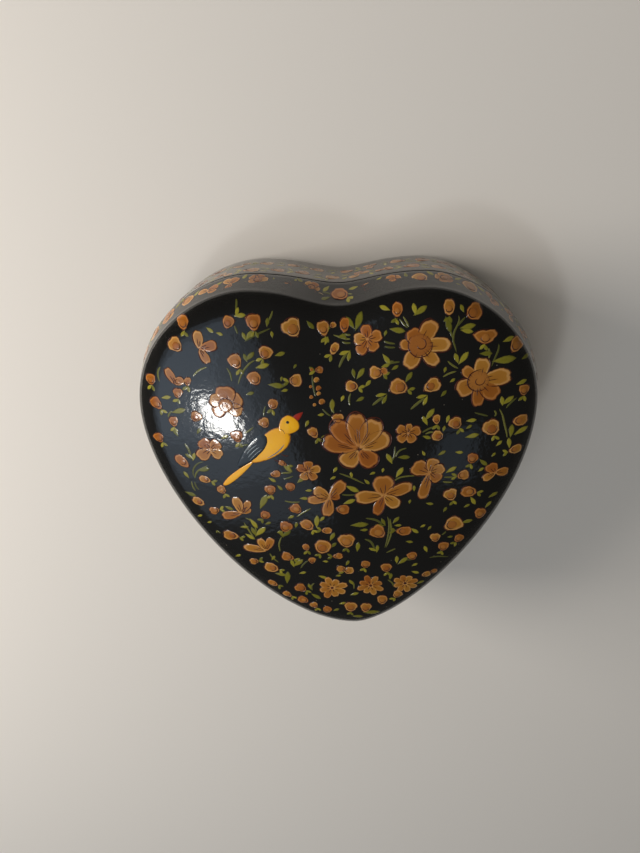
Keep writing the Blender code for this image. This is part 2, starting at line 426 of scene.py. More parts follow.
# %% Collar strip
COLLAR_THICK = 1.6
COLLAR_GAP = 0.3
COLLAR_ROUND = 0.5
JOINT_GAP = 0.5
COLLAR_COLUMNS = 400
COLLAR_STEPS = 4000


def collar_path():
    """The collar's middle line and its inward directions, starting at the point of the heart."""
    middle_line = OUTLINE + INWARD * (WALL + COLLAR_GAP + COLLAR_THICK / 2)
    start = int(np.argmin(middle_line[:, 1]))
    loop = np.roll(middle_line, -start, 0)
    dense, length = walk(loop, COLLAR_STEPS)
    ends = int(COLLAR_STEPS * JOINT_GAP / length / 2) + 1
    path, _ = walk(dense[ends:-ends], COLLAR_COLUMNS, closed=False)
    along = np.gradient(path, axis=0)
    along /= np.hypot(*along.T)[:, None]
    return path, np.stack([along[:, 1], -along[:, 0]], 1)


def collar_profile():
    """A rectangle with round corners, as (inwards, height) places; each corner is a quarter circle."""
    half = COLLAR_THICK / 2 - COLLAR_ROUND
    low = COLLAR_FOOT + COLLAR_ROUND
    high = COLLAR_TOP - COLLAR_ROUND
    corners = [(half, low, -90), (half, high, 0), (-half, high, 90), (-half, low, 180)]
    places = []
    for across, up, first in corners:
        turn = np.radians(first + np.linspace(0, 90, 4))
        places.append(np.stack([across + COLLAR_ROUND * np.cos(turn), up + COLLAR_ROUND * np.sin(turn)], 1))
    return np.concatenate(places)


path, into = collar_path()
profile = collar_profile()
sides = len(profile)
places = path[:, None] + into[:, None] * profile[None, :, :1]
heights = np.broadcast_to(profile[:, 1:], (COLLAR_COLUMNS, sides, 1))
points = np.concatenate([places, heights], 2).reshape(-1, 3)
last = (COLLAR_COLUMNS - 1) * sides
faces = ring_faces(COLLAR_COLUMNS, sides).tolist()
faces += [list(range(sides)), list(range(last, last + sides))]
collar_strip = add_mesh("collar_strip", points, faces, closed=True)

# %% [markdown]
# ## A film of paint
# The decoration is gouache, laid on in small wet dabs and drawn out with a fine brush. Each dab is a
# flat drop a twentieth of a millimetre thick or less, with a rounded rim that dips just under the
# lacquer. Each line is a ribbon that thins at both ends. Both are worked out flat, as places on the
# surface, and then put on the lid or on a wall by that surface's own function.
#
# Every point also keeps two numbers for the materials: its tone, which differs a little from dab to
# dab as the brush is refilled, and how near it is to the rim, where wet paint dries paler.

# %% Dabs and lines
FILM = {"petal": 0.05, "heart": 0.05, "line": 0.03, "leaf": 0.035, "stem": 0.025, "bird": 0.05, "wing": 0.04,
        "beak": 0.04, "feather": 0.03, "scratch": 0.02}
BURIED = 0.03
ON_DAB = 0.03
ON_PETAL = 0.05
ON_HEART = 0.09
RIM_SHARES = np.array([0.0, 0.5, 0.8, 0.93, 1.0])
RIM_LIFTS = np.array([1.0, 1.0, 0.93, 0.7, 0.0])
ACROSS = np.array([-1.0, -0.75, 0.0, 0.75, 1.0])
ACROSS_LIFTS = np.array([0.0, 0.8, 1.0, 0.8, 0.0])
TAPER = 0.35
LINE_STEP = 0.45
LINE_COUNTS = (7, 28)
FOLD_WIDTH = 0.3
EDGE_WIDTH = 0.34
chance = np.random.default_rng(11)
paint = {}


def keep(side, colour, places, lifts, faces, rim):
    """Adds a dab or a line to the pile of one colour on one side of the box."""
    pile = paint.setdefault((side, colour), {"places": [], "lifts": [], "faces": [], "rim": [], "tone": [],
                                             "count": 0})
    pile["places"].append(places)
    pile["lifts"].append(lifts)
    pile["faces"].append(faces + pile["count"])
    pile["rim"].append(rim)
    pile["tone"].append(np.full(len(places), chance.random()))
    pile["count"] += len(places)


def dab(side, colour, edge, lift=0.0):
    """A drop of paint: its edge shrunk towards its middle, high inside and buried at the rim."""
    count = len(edge)
    middle = edge.mean(0)
    shares = RIM_SHARES[1:, None, None]
    rings = (middle + (edge - middle) * shares).reshape(-1, 2)
    film = FILM[colour] + lift
    lifts = np.repeat(RIM_LIFTS[1:] * (film + BURIED) - BURIED, count)
    column = np.arange(count)
    after = (column + 1) % count
    fan = np.stack([np.zeros(count, int), 1 + column, 1 + after, np.zeros(count, int)], 1)
    squares = ring_faces(len(RIM_SHARES) - 1, count)[:, ::-1] + 1
    rim = np.concatenate([[0], np.repeat(RIM_SHARES[1:], count)])
    keep(side, colour, np.concatenate([middle[None], rings]), np.concatenate([[film], lifts]),
         np.concatenate([fan, squares]), rim)


def smooth(points, count):
    """A smooth path through a few points: each stretch is a Catmull-Rom curve."""
    points = np.array(points, float)
    padded = np.concatenate([2 * points[:1] - points[1:2], points, 2 * points[-1:] - points[-2:-1]])
    at = np.linspace(0, len(points) - 1, count)
    near = np.minimum(np.floor(at).astype(int), len(points) - 2)
    t = (at - near)[:, None]
    a, b, c, d = (padded[near + k] for k in range(4))
    return (2 * b + (c - a) * t + (2 * a - 5 * b + 4 * c - d) * t**2 + (3 * b - a - 3 * c + d) * t**3) / 2


def line(side, colour, points, width, lift=0.0):
    """A brush line: a ribbon along a smooth path, whose width falls away over its last third."""
    length = np.hypot(*np.diff(np.array(points, float), axis=0).T).sum()
    count = int(np.clip(length / LINE_STEP, *LINE_COUNTS))
    path = smooth(points, count)
    along = np.gradient(path, axis=0)
    along /= np.hypot(*along.T)[:, None]
    left = np.stack([-along[:, 1], along[:, 0]], 1)
    share = np.linspace(0, 1, count)
    swell = np.sqrt(np.clip(np.minimum(share, 1 - share) / TAPER, 0.004, 1))
    half = width / 2 * swell[:, None]
    places = path[:, None] + left[:, None] * (half * ACROSS)[..., None]
    film = (FILM[colour] + lift + BURIED) * swell[:, None] * ACROSS_LIFTS - BURIED
    row, column = np.mgrid[0:count - 1, 0:len(ACROSS) - 1]
    here = row * len(ACROSS) + column
    ahead = here + len(ACROSS)
    faces = np.stack([here, ahead, ahead + 1, here + 1], -1).reshape(-1, 4)[:, ::-1]
    keep(side, colour, places.reshape(-1, 2), film.reshape(-1), faces, np.abs(np.tile(ACROSS, count)))


# %% [markdown]
# ## What the decorator paints
# A few strokes make every motif. A petal is an egg with its wide end outwards. A bud is one egg with
# a warm middle and dark petal edges curled round it. A leaf is a dab with two sharp ends. A blossom
# is a ring of petals, and a rose adds a round heart with a spiral line.

# %% Motifs
def turned(across, along, x, y, angle):
    """Places given along and across a direction, turned to an angle in degrees and moved to (x, y)."""
    turn = math.radians(angle)
    return np.stack([x + along * math.cos(turn) - across * math.sin(turn),
                     y + along * math.sin(turn) + across * math.cos(turn)], 1)


def egg(x, y, length, width, angle, count=24, fullness=0.3, frill=0.05):
    """Along is half the length times cos t, across is half the width times sin t (1 + fullness cos t).
    The frill is two slow waves and a shallow notch at the wide end."""
    t = np.linspace(0, 2 * np.pi, count + 1)[:-1]
    first, second = chance.uniform(0, 6, 2)
    wobble = 1 + frill * (np.sin(3 * t + first) + np.sin(7 * t + second)) / 1.6
    wobble -= 1.6 * frill * np.exp(-(np.minimum(t, 2 * np.pi - t) / 0.3)**2)
    across = width / 2 * np.sin(t) * (1 + fullness * np.cos(t)) * wobble
    return turned(across, length / 2 * np.cos(t) * wobble, x, y, angle)


BUD_SCALE = 1.1
LEAF_SCALE = 1.3
ARROW_WIDTH = 0.85
STAR_PETALS = 8


def arc(side, x, y, length, width, angle, first, last, thick, lift, fullness=0.3):
    """A dark line along part of an egg's edge, between two turns in radians."""
    t = np.linspace(first, last, 7)
    across = width / 2 * np.sin(t) * (1 + fullness * np.cos(t))
    line(side, "line", turned(across, length / 2 * np.cos(t), x, y, angle), thick, lift)


def petal(side, x, y, length, width, angle, lift=0.0):
    """An egg of paint with two dark folds from its narrow end and a dark edge along one flank."""
    dab(side, "petal", egg(x, y, length, width, angle), lift)
    hand = chance.choice([-1, 1])
    for reach, offset in ((0.26, 0.1), (0.02, -0.14)):
        fold = np.array([-0.46, -0.2, reach]) * length
        bend = np.array([0.0, 0.8, 1.0]) * offset * width * hand
        line(side, "line", turned(bend, fold, x, y, angle), FOLD_WIDTH, lift + ON_PETAL)
    first = chance.uniform(0.1, 0.5)
    arc(side, x, y, length * 0.98, width * 0.98, angle, first * hand, (first + 2.1) * hand, EDGE_WIDTH,
        lift + ON_PETAL)


def bud(side, x, y, length, width, angle):
    """A pale frilled egg, a warm round middle, dark petal edges curled round it, and often two sepals."""
    length, width = length * BUD_SCALE, width * BUD_SCALE
    if chance.random() < 0.7:
        foot = turned(np.zeros(1), np.array([-0.52 * length]), x, y, angle)[0]
        for turn in (132, 205):
            way = math.radians(angle + turn)
            leaf(side, foot[0] + 0.7 * math.cos(way), foot[1] + 0.7 * math.sin(way), 1.7, angle + turn)
    dab(side, "petal", egg(x, y, length, width, angle, 20, 0.3, 0.08))
    foot = turned(np.zeros(1), np.array([-0.06 * length]), x, y, angle)[0]
    core = 0.52 * min(length, width)
    dab(side, "heart", egg(*foot, core * 1.05, core, angle, 12, 0.0), ON_DAB)
    hand = chance.choice([-1, 1])
    arc(side, *foot, core * 1.1, core * 1.1, angle, 0.9 * hand, 5.2 * hand, FOLD_WIDTH, ON_HEART, 0.0)
    arc(side, x, y, length * 0.88, width * 0.88, angle, -0.5 * hand, 1.6 * hand, FOLD_WIDTH, ON_PETAL)
    arc(side, x, y, length * 0.9, width * 0.9, angle, 2.2 * hand, 4.3 * hand, 0.28, ON_PETAL)


def leaf(side, x, y, length, angle, width=None):
    """A dab with two sharp ends: across is half the width times the square of sin t."""
    length = length * LEAF_SCALE
    width = width or 0.35 + length * 0.27
    t = np.linspace(0, 2 * np.pi, 17)[:-1]
    across = width / 2 * np.sin(t) * np.abs(np.sin(t)) * (1 + 0.5 * np.cos(t))
    bend = chance.uniform(-0.16, 0.16) * length * np.sin(t / 2)**2
    dab(side, "leaf", turned(across + bend, length / 2 * np.cos(t), x, y, angle))


def sprig(side, x, y, length, angle):
    """Two leaf blades that part from one foot, one a little longer than the other."""
    for turn, share in ((-26, 1.0), (36, 0.75)):
        way = math.radians(angle + turn)
        reach = length * share / 2
        leaf(side, x + reach * math.cos(way), y + reach * math.sin(way), length * share, angle + turn)


def stem(side, points, width=0.62):
    """A green line that thins towards both ends."""
    line(side, "stem", points, width)


def arrow(side, points):
    """A stem that ends in two leaf lobes, like an arrow's head."""
    stem(side, points, ARROW_WIDTH)
    (x0, y0), (x, y) = points[-2], points[-1]
    back = math.degrees(math.atan2(y0 - y, x0 - x))
    for turn in (-34, 34):
        way = math.radians(back + turn)
        leaf(side, x + 1.1 * math.cos(way), y + 1.1 * math.sin(way), 2.5, back + turn, 1.1)


def blossom(side, x, y, petals, heart=0.0):
    """Petals set round (x, y), each as (angle, reach, width), and a rose's heart where one is asked."""
    for angle, reach, width in petals:
        way = math.radians(angle)
        middle = reach * 0.48
        petal(side, x + middle * math.cos(way), y + middle * math.sin(way), reach * 1.08, width * 1.06, angle)
    if heart:
        dab(side, "heart", egg(x, y, 2.2 * heart, 2.1 * heart, 30, 24, 0.0), ON_DAB)
        turn = chance.uniform(0, 360)
        arc(side, x, y, 2.2 * heart, 2.1 * heart, turn, 0.0, 5.4, 0.36, ON_HEART, 0.0)
        t = np.linspace(0, 7.5, 16)
        reach = heart * (0.1 + 0.085 * t)
        line(side, "line", turned(reach * np.sin(t), reach * np.cos(t), x, y, turn), 0.34, ON_HEART)


def star(side, x, y, reach):
    """A daisy: narrow petals of uneven length round a small heart."""
    first = 360 / STAR_PETALS * chance.random()
    for angle in np.linspace(0, 360, STAR_PETALS, endpoint=False) + first:
        long = reach * (0.8 + 0.25 * chance.random())
        way = math.radians(angle)
        middle = (x + long * 0.52 * math.cos(way), y + long * 0.52 * math.sin(way))
        dab(side, "petal", egg(*middle, long, reach * 0.5, angle, 16, 0.2))
        line(side, "line", [(x + 0.2 * (middle[0] - x), y + 0.2 * (middle[1] - y)), middle], 0.3, ON_PETAL)
    dab(side, "line", egg(x, y, 1.1, 1.1, 0, 10, 0.0), 0.06)


# %% [markdown]
# ## Where the motifs sit
# The sprays run from the notch out over both lobes and down to the point, and buds and leaf ticks
# fill what is left. The places were read off the real lid against a millimetre grid, so each
# is approximate. They are in mm on the lid's top seen from above, with the notch at the top. A bud is
# (x, y, length, width, angle of its wide end), a leaf or a sprig is (x, y, length, angle), and a
# blossom is its middle, its heart and its petals.

# %% Buds on the lid
BUDS = [
    (-39.3, 48.3, 3.9, 3.1, 100), (-41.8, 42.5, 4.2, 3.7, 130), (-50.0, 32.6, 3.2, 2.8, 90),
    (-49.3, 25.7, 4.2, 3.0, 125), (-27.0, 48.6, 3.6, 2.9, 60), (-20.5, 48.5, 4.6, 3.7, 95),
    (-17.8, 40.5, 3.6, 3.6, 60), (-26.0, 38.2, 4.3, 3.5, 110), (-21.2, 33.5, 4.0, 3.5, 120),
    (-16.6, 26.2, 3.1, 2.7, 80), (-42.7, 29.0, 3.0, 2.6, 80), (-42.0, 32.4, 3.3, 2.4, 20),
    (-39.5, 32.4, 2.6, 1.8, 80), (-10.7, 46.8, 5.2, 4.7, 120), (-2.6, 46.3, 4.1, 3.0, 100),
    (-0.1, 47.0, 1.8, 1.4, 30), (2.9, 47.0, 3.9, 2.4, 85), (0.2, 41.0, 3.6, 2.1, 60),
    (-10.2, 32.8, 3.5, 3.4, 10), (-3.9, 35.5, 2.2, 1.8, 10), (4.6, 31.0, 3.5, 3.0, 170),
    (11.0, 34.7, 3.6, 3.3, 170), (12.9, 35.1, 2.3, 1.9, 10), (16.3, 51.0, 3.8, 2.6, 85),
    (17.0, 30.8, 4.9, 4.3, 165), (25.8, 31.0, 4.9, 3.7, 35), (29.3, 51.4, 4.1, 2.8, 90),
    (35.7, 50.0, 4.2, 4.0, 30), (38.9, 43.7, 3.8, 5.8, 90), (47.3, 41.0, 4.2, 3.5, 60),
    (50.4, 28.6, 3.2, 2.8, 90), (50.3, 19.7, 4.4, 3.3, 10), (27.4, 21.2, 3.0, 2.0, 95),
    (32.6, 19.9, 3.8, 3.5, 120), (27.9, 16.2, 3.3, 3.1, 150), (42.5, 18.0, 5.2, 4.6, 115),
    (38.1, 8.6, 3.4, 3.0, 80), (50.0, 10.7, 4.0, 2.8, 20), (35.9, 3.2, 3.5, 3.1, 10),
    (32.7, -3.3, 4.3, 3.8, 110), (37.9, -2.6, 4.7, 3.6, 170), (42.0, -10.7, 4.0, 3.3, 90),
    (34.3, -14.0, 5.9, 5.1, 30), (29.2, -18.8, 3.4, 3.0, 100), (31.9, -22.4, 3.4, 3.2, 80),
    (19.7, -15.8, 4.8, 3.2, 0), (14.8, -30.0, 3.6, 3.3, 100), (13.8, -43.8, 4.2, 3.2, 95),
    (3.7, -46.8, 4.5, 4.0, 90), (-3.9, -48.4, 3.3, 2.8, 70), (-11.6, -44.3, 3.7, 3.1, 150),
    (-12.1, -38.9, 3.9, 3.5, 140), (-21.0, -37.6, 3.5, 2.3, 150), (-20.9, -30.8, 4.7, 3.7, 160),
    (-15.5, -25.9, 4.1, 3.2, 160), (-8.0, -27.0, 2.6, 2.2, 80), (-9.6, -21.8, 2.7, 2.1, 100),
    (-15.3, -14.2, 4.1, 3.7, 60), (-8.9, -13.3, 4.5, 3.5, 130), (-3.1, -15.2, 3.2, 2.3, 0),
    (-4.5, -21.5, 5.5, 4.9, 70), (2.7, -19.0, 5.3, 4.9, 90), (0.0, -25.0, 3.2, 2.2, 10),
    (0.9, -30.2, 3.0, 2.5, 175), (3.3, -30.9, 3.2, 2.8, 10), (12.0, -15.8, 5.2, 4.5, 130),
    (-12.0, -7.5, 3.7, 3.3, 140), (-21.3, -10.1, 3.1, 2.9, 60), (-19.1, -1.0, 3.4, 3.2, 90),
    (-13.2, 0.2, 2.9, 2.8, 90), (-17.2, 4.5, 3.1, 2.2, 20), (-15.0, 8.1, 2.6, 1.6, 150),
    (-19.4, 20.7, 3.2, 2.9, 120), (-27.3, 16.4, 3.8, 3.3, 100), (-6.0, 17.7, 3.7, 2.6, 120),
    (-38.3, 22.1, 3.3, 3.0, 60), (-45.0, 20.3, 3.3, 2.5, 90), (-50.2, 14.9, 3.2, 3.0, 120),
    (-44.3, 7.5, 5.2, 2.9, 132), (-38.2, 1.7, 3.7, 2.3, 165), (-41.2, -6.4, 4.1, 2.7, 150),
    (1.8, -7.4, 4.0, 3.3, 5), (-32.6, -18.6, 5.1, 3.4, 170), (0.8, 21.7, 3.3, 3.0, 90),
    (27.3, -33.5, 3.0, 2.3, 20), (29.6, -32.6, 2.4, 1.9, 20), (-8.2, -46.6, 3.0, 2.6, 120),
    (8.6, -47.2, 4.4, 3.4, 80), (18.6, -41.6, 3.4, 3.0, 60), (-16.6, -42.2, 3.2, 2.4, 140),
    (8.4, -28.4, 3.0, 2.8, 80), (22.6, -25.6, 3.2, 3.0, 120), (36.4, -19.6, 3.2, 2.8, 60),
    (-33.6, -1.6, 3.0, 2.6, 120), (-36.6, -9.4, 3.2, 2.6, 200), (-26.2, -28.6, 3.0, 2.4, 200),
]
for each in BUDS:
    bud("top", *each)
BEADS = [(-5.9, 35.6, 1.0), (-4.7, 32.8, 1.8), (-6.3, 31.0, 1.0), (-4.2, 30.5, 1.7), (-4.2, 29.0, 1.4),
         (-6.2, 28.1, 1.2), (-3.4, 26.7, 2.0), (-5.4, 25.9, 1.1)]
for x, y, across in BEADS:
    dab("top", "petal", egg(x, y, across, across * 0.9, 40, 12, 0.1))
    if across > 1.3:
        arc("top", x, y, across * 0.7, across * 0.7, 200, 0.0, 3.6, 0.26, ON_PETAL)
print(f"{len(BUDS)} buds and {len(BEADS)} beads")

# %% Blossoms on the lid
BLOSSOMS = [
    (-35.3, 41.6, 0.0, [(92, 5.0, 2.7), (14, 5.2, 2.8), (-62, 4.7, 2.4)]),
    (-42.7, 31.3, 0.0, [(117, 5.6, 2.3)]),
    (-29.6, 25.6, 2.0, [(88, 6.0, 5.2), (30, 5.4, 4.4), (-25, 5.0, 3.6), (150, 5.0, 4.0), (215, 4.6, 3.8)]),
    (8.7, 43.5, 0.0, [(97, 3.9, 2.9), (180, 3.6, 3.2), (240, 4.7, 3.0), (312, 3.9, 3.2), (20, 4.2, 3.0)]),
    (22.3, 42.0, 3.0, [(122, 5.0, 4.2), (62, 7.4, 4.4), (0, 8.2, 3.9), (-50, 7.4, 3.5), (-118, 7.2, 4.2),
                       (178, 5.6, 2.8)]),
    (38.0, 31.9, 2.8, [(82, 6.6, 4.0), (140, 6.0, 3.0), (208, 6.6, 4.8), (-88, 7.8, 3.2), (-42, 7.6, 4.6),
                       (8, 9.0, 4.6)]),
    (-35.3, 12.0, 0.0, [(135, 4.1, 3.8), (42, 3.8, 3.4), (-38, 4.0, 3.4), (218, 5.2, 3.8)]),
    (19.9, 17.3, 0.0, [(150, 3.7, 2.8), (15, 3.7, 2.9), (-62, 3.4, 2.8), (222, 3.8, 2.7), (85, 3.0, 1.8)]),
    (-7.8, 5.6, 0.0, [(88, 3.4, 2.7), (15, 3.8, 2.6), (-55, 3.7, 2.5), (-125, 3.6, 2.6), (155, 3.7, 2.5)]),
    (-2.0, -3.4, 0.0, [(145, 5.6, 3.5), (52, 7.4, 3.5), (190, 6.8, 3.0), (-98, 6.9, 3.4), (15, 3.2, 2.4)]),
    (26.3, 4.6, 0.0, [(152, 5.8, 5.0), (75, 5.0, 3.5), (20, 4.6, 3.5), (-42, 4.4, 3.5), (-102, 9.8, 3.1)]),
    (13.5, -2.8, 0.0, [(92, 7.0, 6.0), (22, 9.2, 3.9), (185, 8.6, 4.4), (-108, 7.4, 3.1), (-42, 6.2, 4.0)]),
    (45.0, 3.4, 0.0, [(125, 3.8, 3.6), (5, 4.0, 2.9), (212, 4.2, 2.5)]),
    (-28.4, -9.8, 0.0, [(58, 5.6, 2.3), (104, 6.2, 3.0), (30, 3.6, 2.0), (194, 6.6, 2.9)]),
    (-22.0, -23.8, 0.0, [(68, 5.8, 2.5), (112, 5.2, 2.6), (172, 7.4, 3.0)]),
]
for x, y, heart, petals in BLOSSOMS:
    blossom("top", x, y, petals, heart)
STARS = [(-2.1, -38.4, 5.2), (10.0, -37.4, 4.6), (20.8, -36.9, 4.4)]
for x, y, reach in STARS:
    star("top", x, y, reach)

# The largest blossom is a magnolia: two petals open below, and five stand in an even fan over them,
# the middle one painted last. Each is (angle, share of the reach).
MAGNOLIA = [(-130, 0.62), (-50, 0.62), (165, 0.95), (25, 0.85), (130, 1.0), (60, 0.95), (95, 1.0)]


def magnolia(side, x, y, reach):
    """Broad petals that overlap, each with a dark outline and a third fold down its middle."""
    width = reach * 0.5
    for number, (angle, share) in enumerate(MAGNOLIA):
        way = math.radians(angle)
        length = reach * share
        middle = (x + 0.5 * length * math.cos(way), y + 0.5 * length * math.sin(way))
        lift = 0.012 * number
        petal(side, *middle, length, width, angle, lift)
        arc(side, *middle, length * 0.98, width * 0.98, angle, -2.7, 2.7, EDGE_WIDTH, lift + ON_PETAL)
        fold = np.array([-0.44, -0.1, 0.2]) * length
        line(side, "line", turned(np.zeros(3), fold, *middle, angle), FOLD_WIDTH, lift + ON_PETAL)


magnolia("top", 6.5, 12.5, 11.5)
print(f"{len(BLOSSOMS) + len(STARS) + 1} blossoms")

# %% Leaves and stems on the lid
LEAVES = [
    (-32.0, 46.6, 1.9, -40), (-29.6, 45.4, 1.6, -10), (-17.0, 48.4, 2.0, 75), (-15.9, 45.2, 1.5, 90),
    (-18.9, 37.0, 3.2, 10), (-22.7, 29.3, 2.0, 10), (-46.2, 27.5, 2.4, 10), (-43.2, 23.8, 3.6, 10),
    (-45.0, 16.8, 2.4, 110), (-38.0, 17.6, 2.0, 60), (-30.8, 16.0, 2.0, 30), (-38.2, 5.0, 3.2, 15),
    (-43.8, 2.8, 2.2, 110), (-43.3, -3.8, 3.0, -20), (-41.6, -11.8, 1.6, 20), (-38.8, -14.0, 1.4, 20),
    (-32.0, -8.0, 2.4, -30), (-15.5, 31.2, 3.6, 0), (-13.3, 30.1, 1.6, 10), (-14.0, 39.9, 2.4, 20),
    (-13.9, 33.3, 1.2, 80), (-10.2, 36.6, 1.2, 60), (-5.8, 47.4, 2.4, -55), (-2.0, 43.1, 1.9, 60),
    (13.2, 51.3, 2.4, 160), (13.5, 45.0, 1.4, 80), (2.2, 27.5, 1.6, 70), (6.8, 27.4, 2.1, 25),
    (8.9, 31.7, 2.0, 50), (13.6, 38.3, 2.8, -50), (15.9, 36.1, 1.8, 30), (13.4, 36.6, 2.0, 15),
    (16.4, 46.1, 3.4, -15), (-0.4, 25.5, 3.2, 95), (-3.8, 23.1, 1.6, 0), (-7.7, 20.4, 1.9, 60),
    (-3.3, 16.4, 1.2, 20), (32.7, 51.0, 1.8, 120), (28.9, 47.0, 3.6, -60), (34.2, 46.4, 3.4, 12),
    (34.0, 45.4, 2.8, -12), (28.9, 35.2, 1.4, 70), (31.0, 32.3, 1.4, 30), (28.9, 28.6, 1.9, 50),
    (44.2, 37.6, 5.2, 0), (39.3, 39.2, 2.8, 0), (45.0, 42.5, 2.6, 20), (50.0, 37.6, 2.2, 20),
    (49.4, 31.0, 2.5, 15), (19.6, 33.4, 2.8, 60), (24.2, 20.8, 2.6, 110), (25.6, 22.6, 3.4, 60),
    (30.3, 21.2, 2.0, 70), (36.3, 18.6, 1.6, 30), (36.8, 20.6, 2.4, 0), (29.6, 18.3, 1.5, 80),
    (37.4, 15.8, 3.2, 10), (25.0, 15.9, 2.1, -20), (45.0, 13.0, 1.9, 40), (47.7, 12.8, 2.8, 90),
    (44.0, 9.3, 1.4, 60), (41.4, 7.2, 2.7, -50), (40.7, 4.8, 1.7, 30), (34.2, 10.8, 1.9, -10),
    (29.4, 10.8, 2.1, 30), (24.3, 10.9, 1.5, -60), (18.9, 9.8, 2.9, 0), (14.8, 9.3, 3.1, 110),
    (18.0, 4.8, 3.2, 65), (13.2, 5.7, 1.3, 80), (10.3, 4.7, 1.5, 30), (13.1, 14.5, 1.9, 20),
    (10.9, 12.5, 3.1, 15), (32.3, 5.2, 2.9, 30), (44.2, -7.8, 2.3, 60), (45.3, -4.5, 2.6, 40),
    (39.2, -6.0, 2.7, -50), (37.7, -7.5, 1.7, 25), (31.4, -8.5, 1.7, 60), (21.2, -5.2, 1.3, 90),
    (22.3, -0.6, 1.7, 100), (26.9, -6.0, 1.9, -20), (38.3, -13.5, 2.9, 20), (33.6, -18.8, 1.5, 0),
    (26.6, -23.2, 2.3, 110), (25.2, -14.1, 1.5, 20), (27.3, -15.1, 1.5, 60), (22.8, -16.0, 2.5, -30),
    (21.5, -20.2, 1.9, 0), (17.9, -13.6, 1.8, 0), (17.4, -11.8, 2.5, 60), (7.9, -14.9, 2.0, 0),
    (23.9, -32.2, 2.2, -30), (25.6, -37.0, 2.2, 20), (23.5, -29.3, 1.7, 30), (16.3, -33.8, 2.3, 85),
    (2.8, -27.8, 1.9, 60), (-3.9, -27.3, 1.5, 0), (-4.8, -33.6, 2.4, -30), (0.0, -33.2, 1.5, 20),
    (4.0, -36.0, 2.2, 120), (4.9, -41.0, 2.5, 20), (1.0, -45.1, 1.9, 10), (-1.0, -48.4, 1.9, 30),
    (10.4, -50.0, 4.6, 5), (5.9, -51.6, 3.0, 0), (-7.4, -42.4, 3.2, -35), (-9.3, -38.2, 2.1, 100),
    (-11.2, -32.2, 2.0, 10), (-18.2, -33.4, 3.1, -10), (-16.0, -34.8, 4.4, 85), (-31.2, -26.8, 1.9, 30),
    (-20.0, -26.8, 1.9, 60), (-26.7, -18.7, 2.9, -30), (-28.0, -15.2, 2.2, 15), (-25.3, -13.6, 3.4, -50),
    (-20.6, -13.2, 1.8, 30), (-13.6, -10.6, 1.9, 30), (-12.1, -13.5, 1.9, 80), (-21.0, -5.5, 4.8, 75),
    (-16.4, -0.3, 1.9, -40), (-18.3, 2.5, 2.1, -35), (-13.6, 6.6, 3.1, -50), (-8.0, -1.0, 1.7, 10),
    (-9.4, -3.9, 2.2, 10), (-9.9, 2.4, 2.5, 50), (-0.2, 5.9, 1.8, 60), (4.2, 4.2, 1.7, 90),
    (8.6, 1.9, 1.9, -40), (4.4, -0.6, 3.7, -20), (3.6, -4.7, 3.2, 20), (-0.9, 3.3, 1.6, 30),
    (-5.6, -12.0, 3.8, 95), (-4.3, -11.0, 1.9, 60), (-1.4, -20.7, 2.3, 40), (5.8, -21.4, 3.1, 75),
    (-1.3, -17.6, 2.8, 75), (6.6, -13.4, 4.4, 12), (47.9, 16.6, 3.4, 82), (51.0, 16.2, 3.6, 35),
]
SPRIGS = [
    (-22.6, 44.0, 2.6, 80), (-25.2, 50.4, 2.6, 25), (-22.6, 38.2, 2.8, 80), (5.8, 33.4, 3.0, 75),
    (20.6, 49.8, 3.4, 60), (32.3, 37.0, 3.4, 75), (45.2, 24.6, 3.2, 70), (5.3, 46.2, 4.2, 90),
    (-24.6, -18.2, 4.2, 75), (18.2, -28.2, 3.4, 60), (-13.4, -29.8, 3.6, 75), (-16.4, -18.2, 3.4, 75),
]
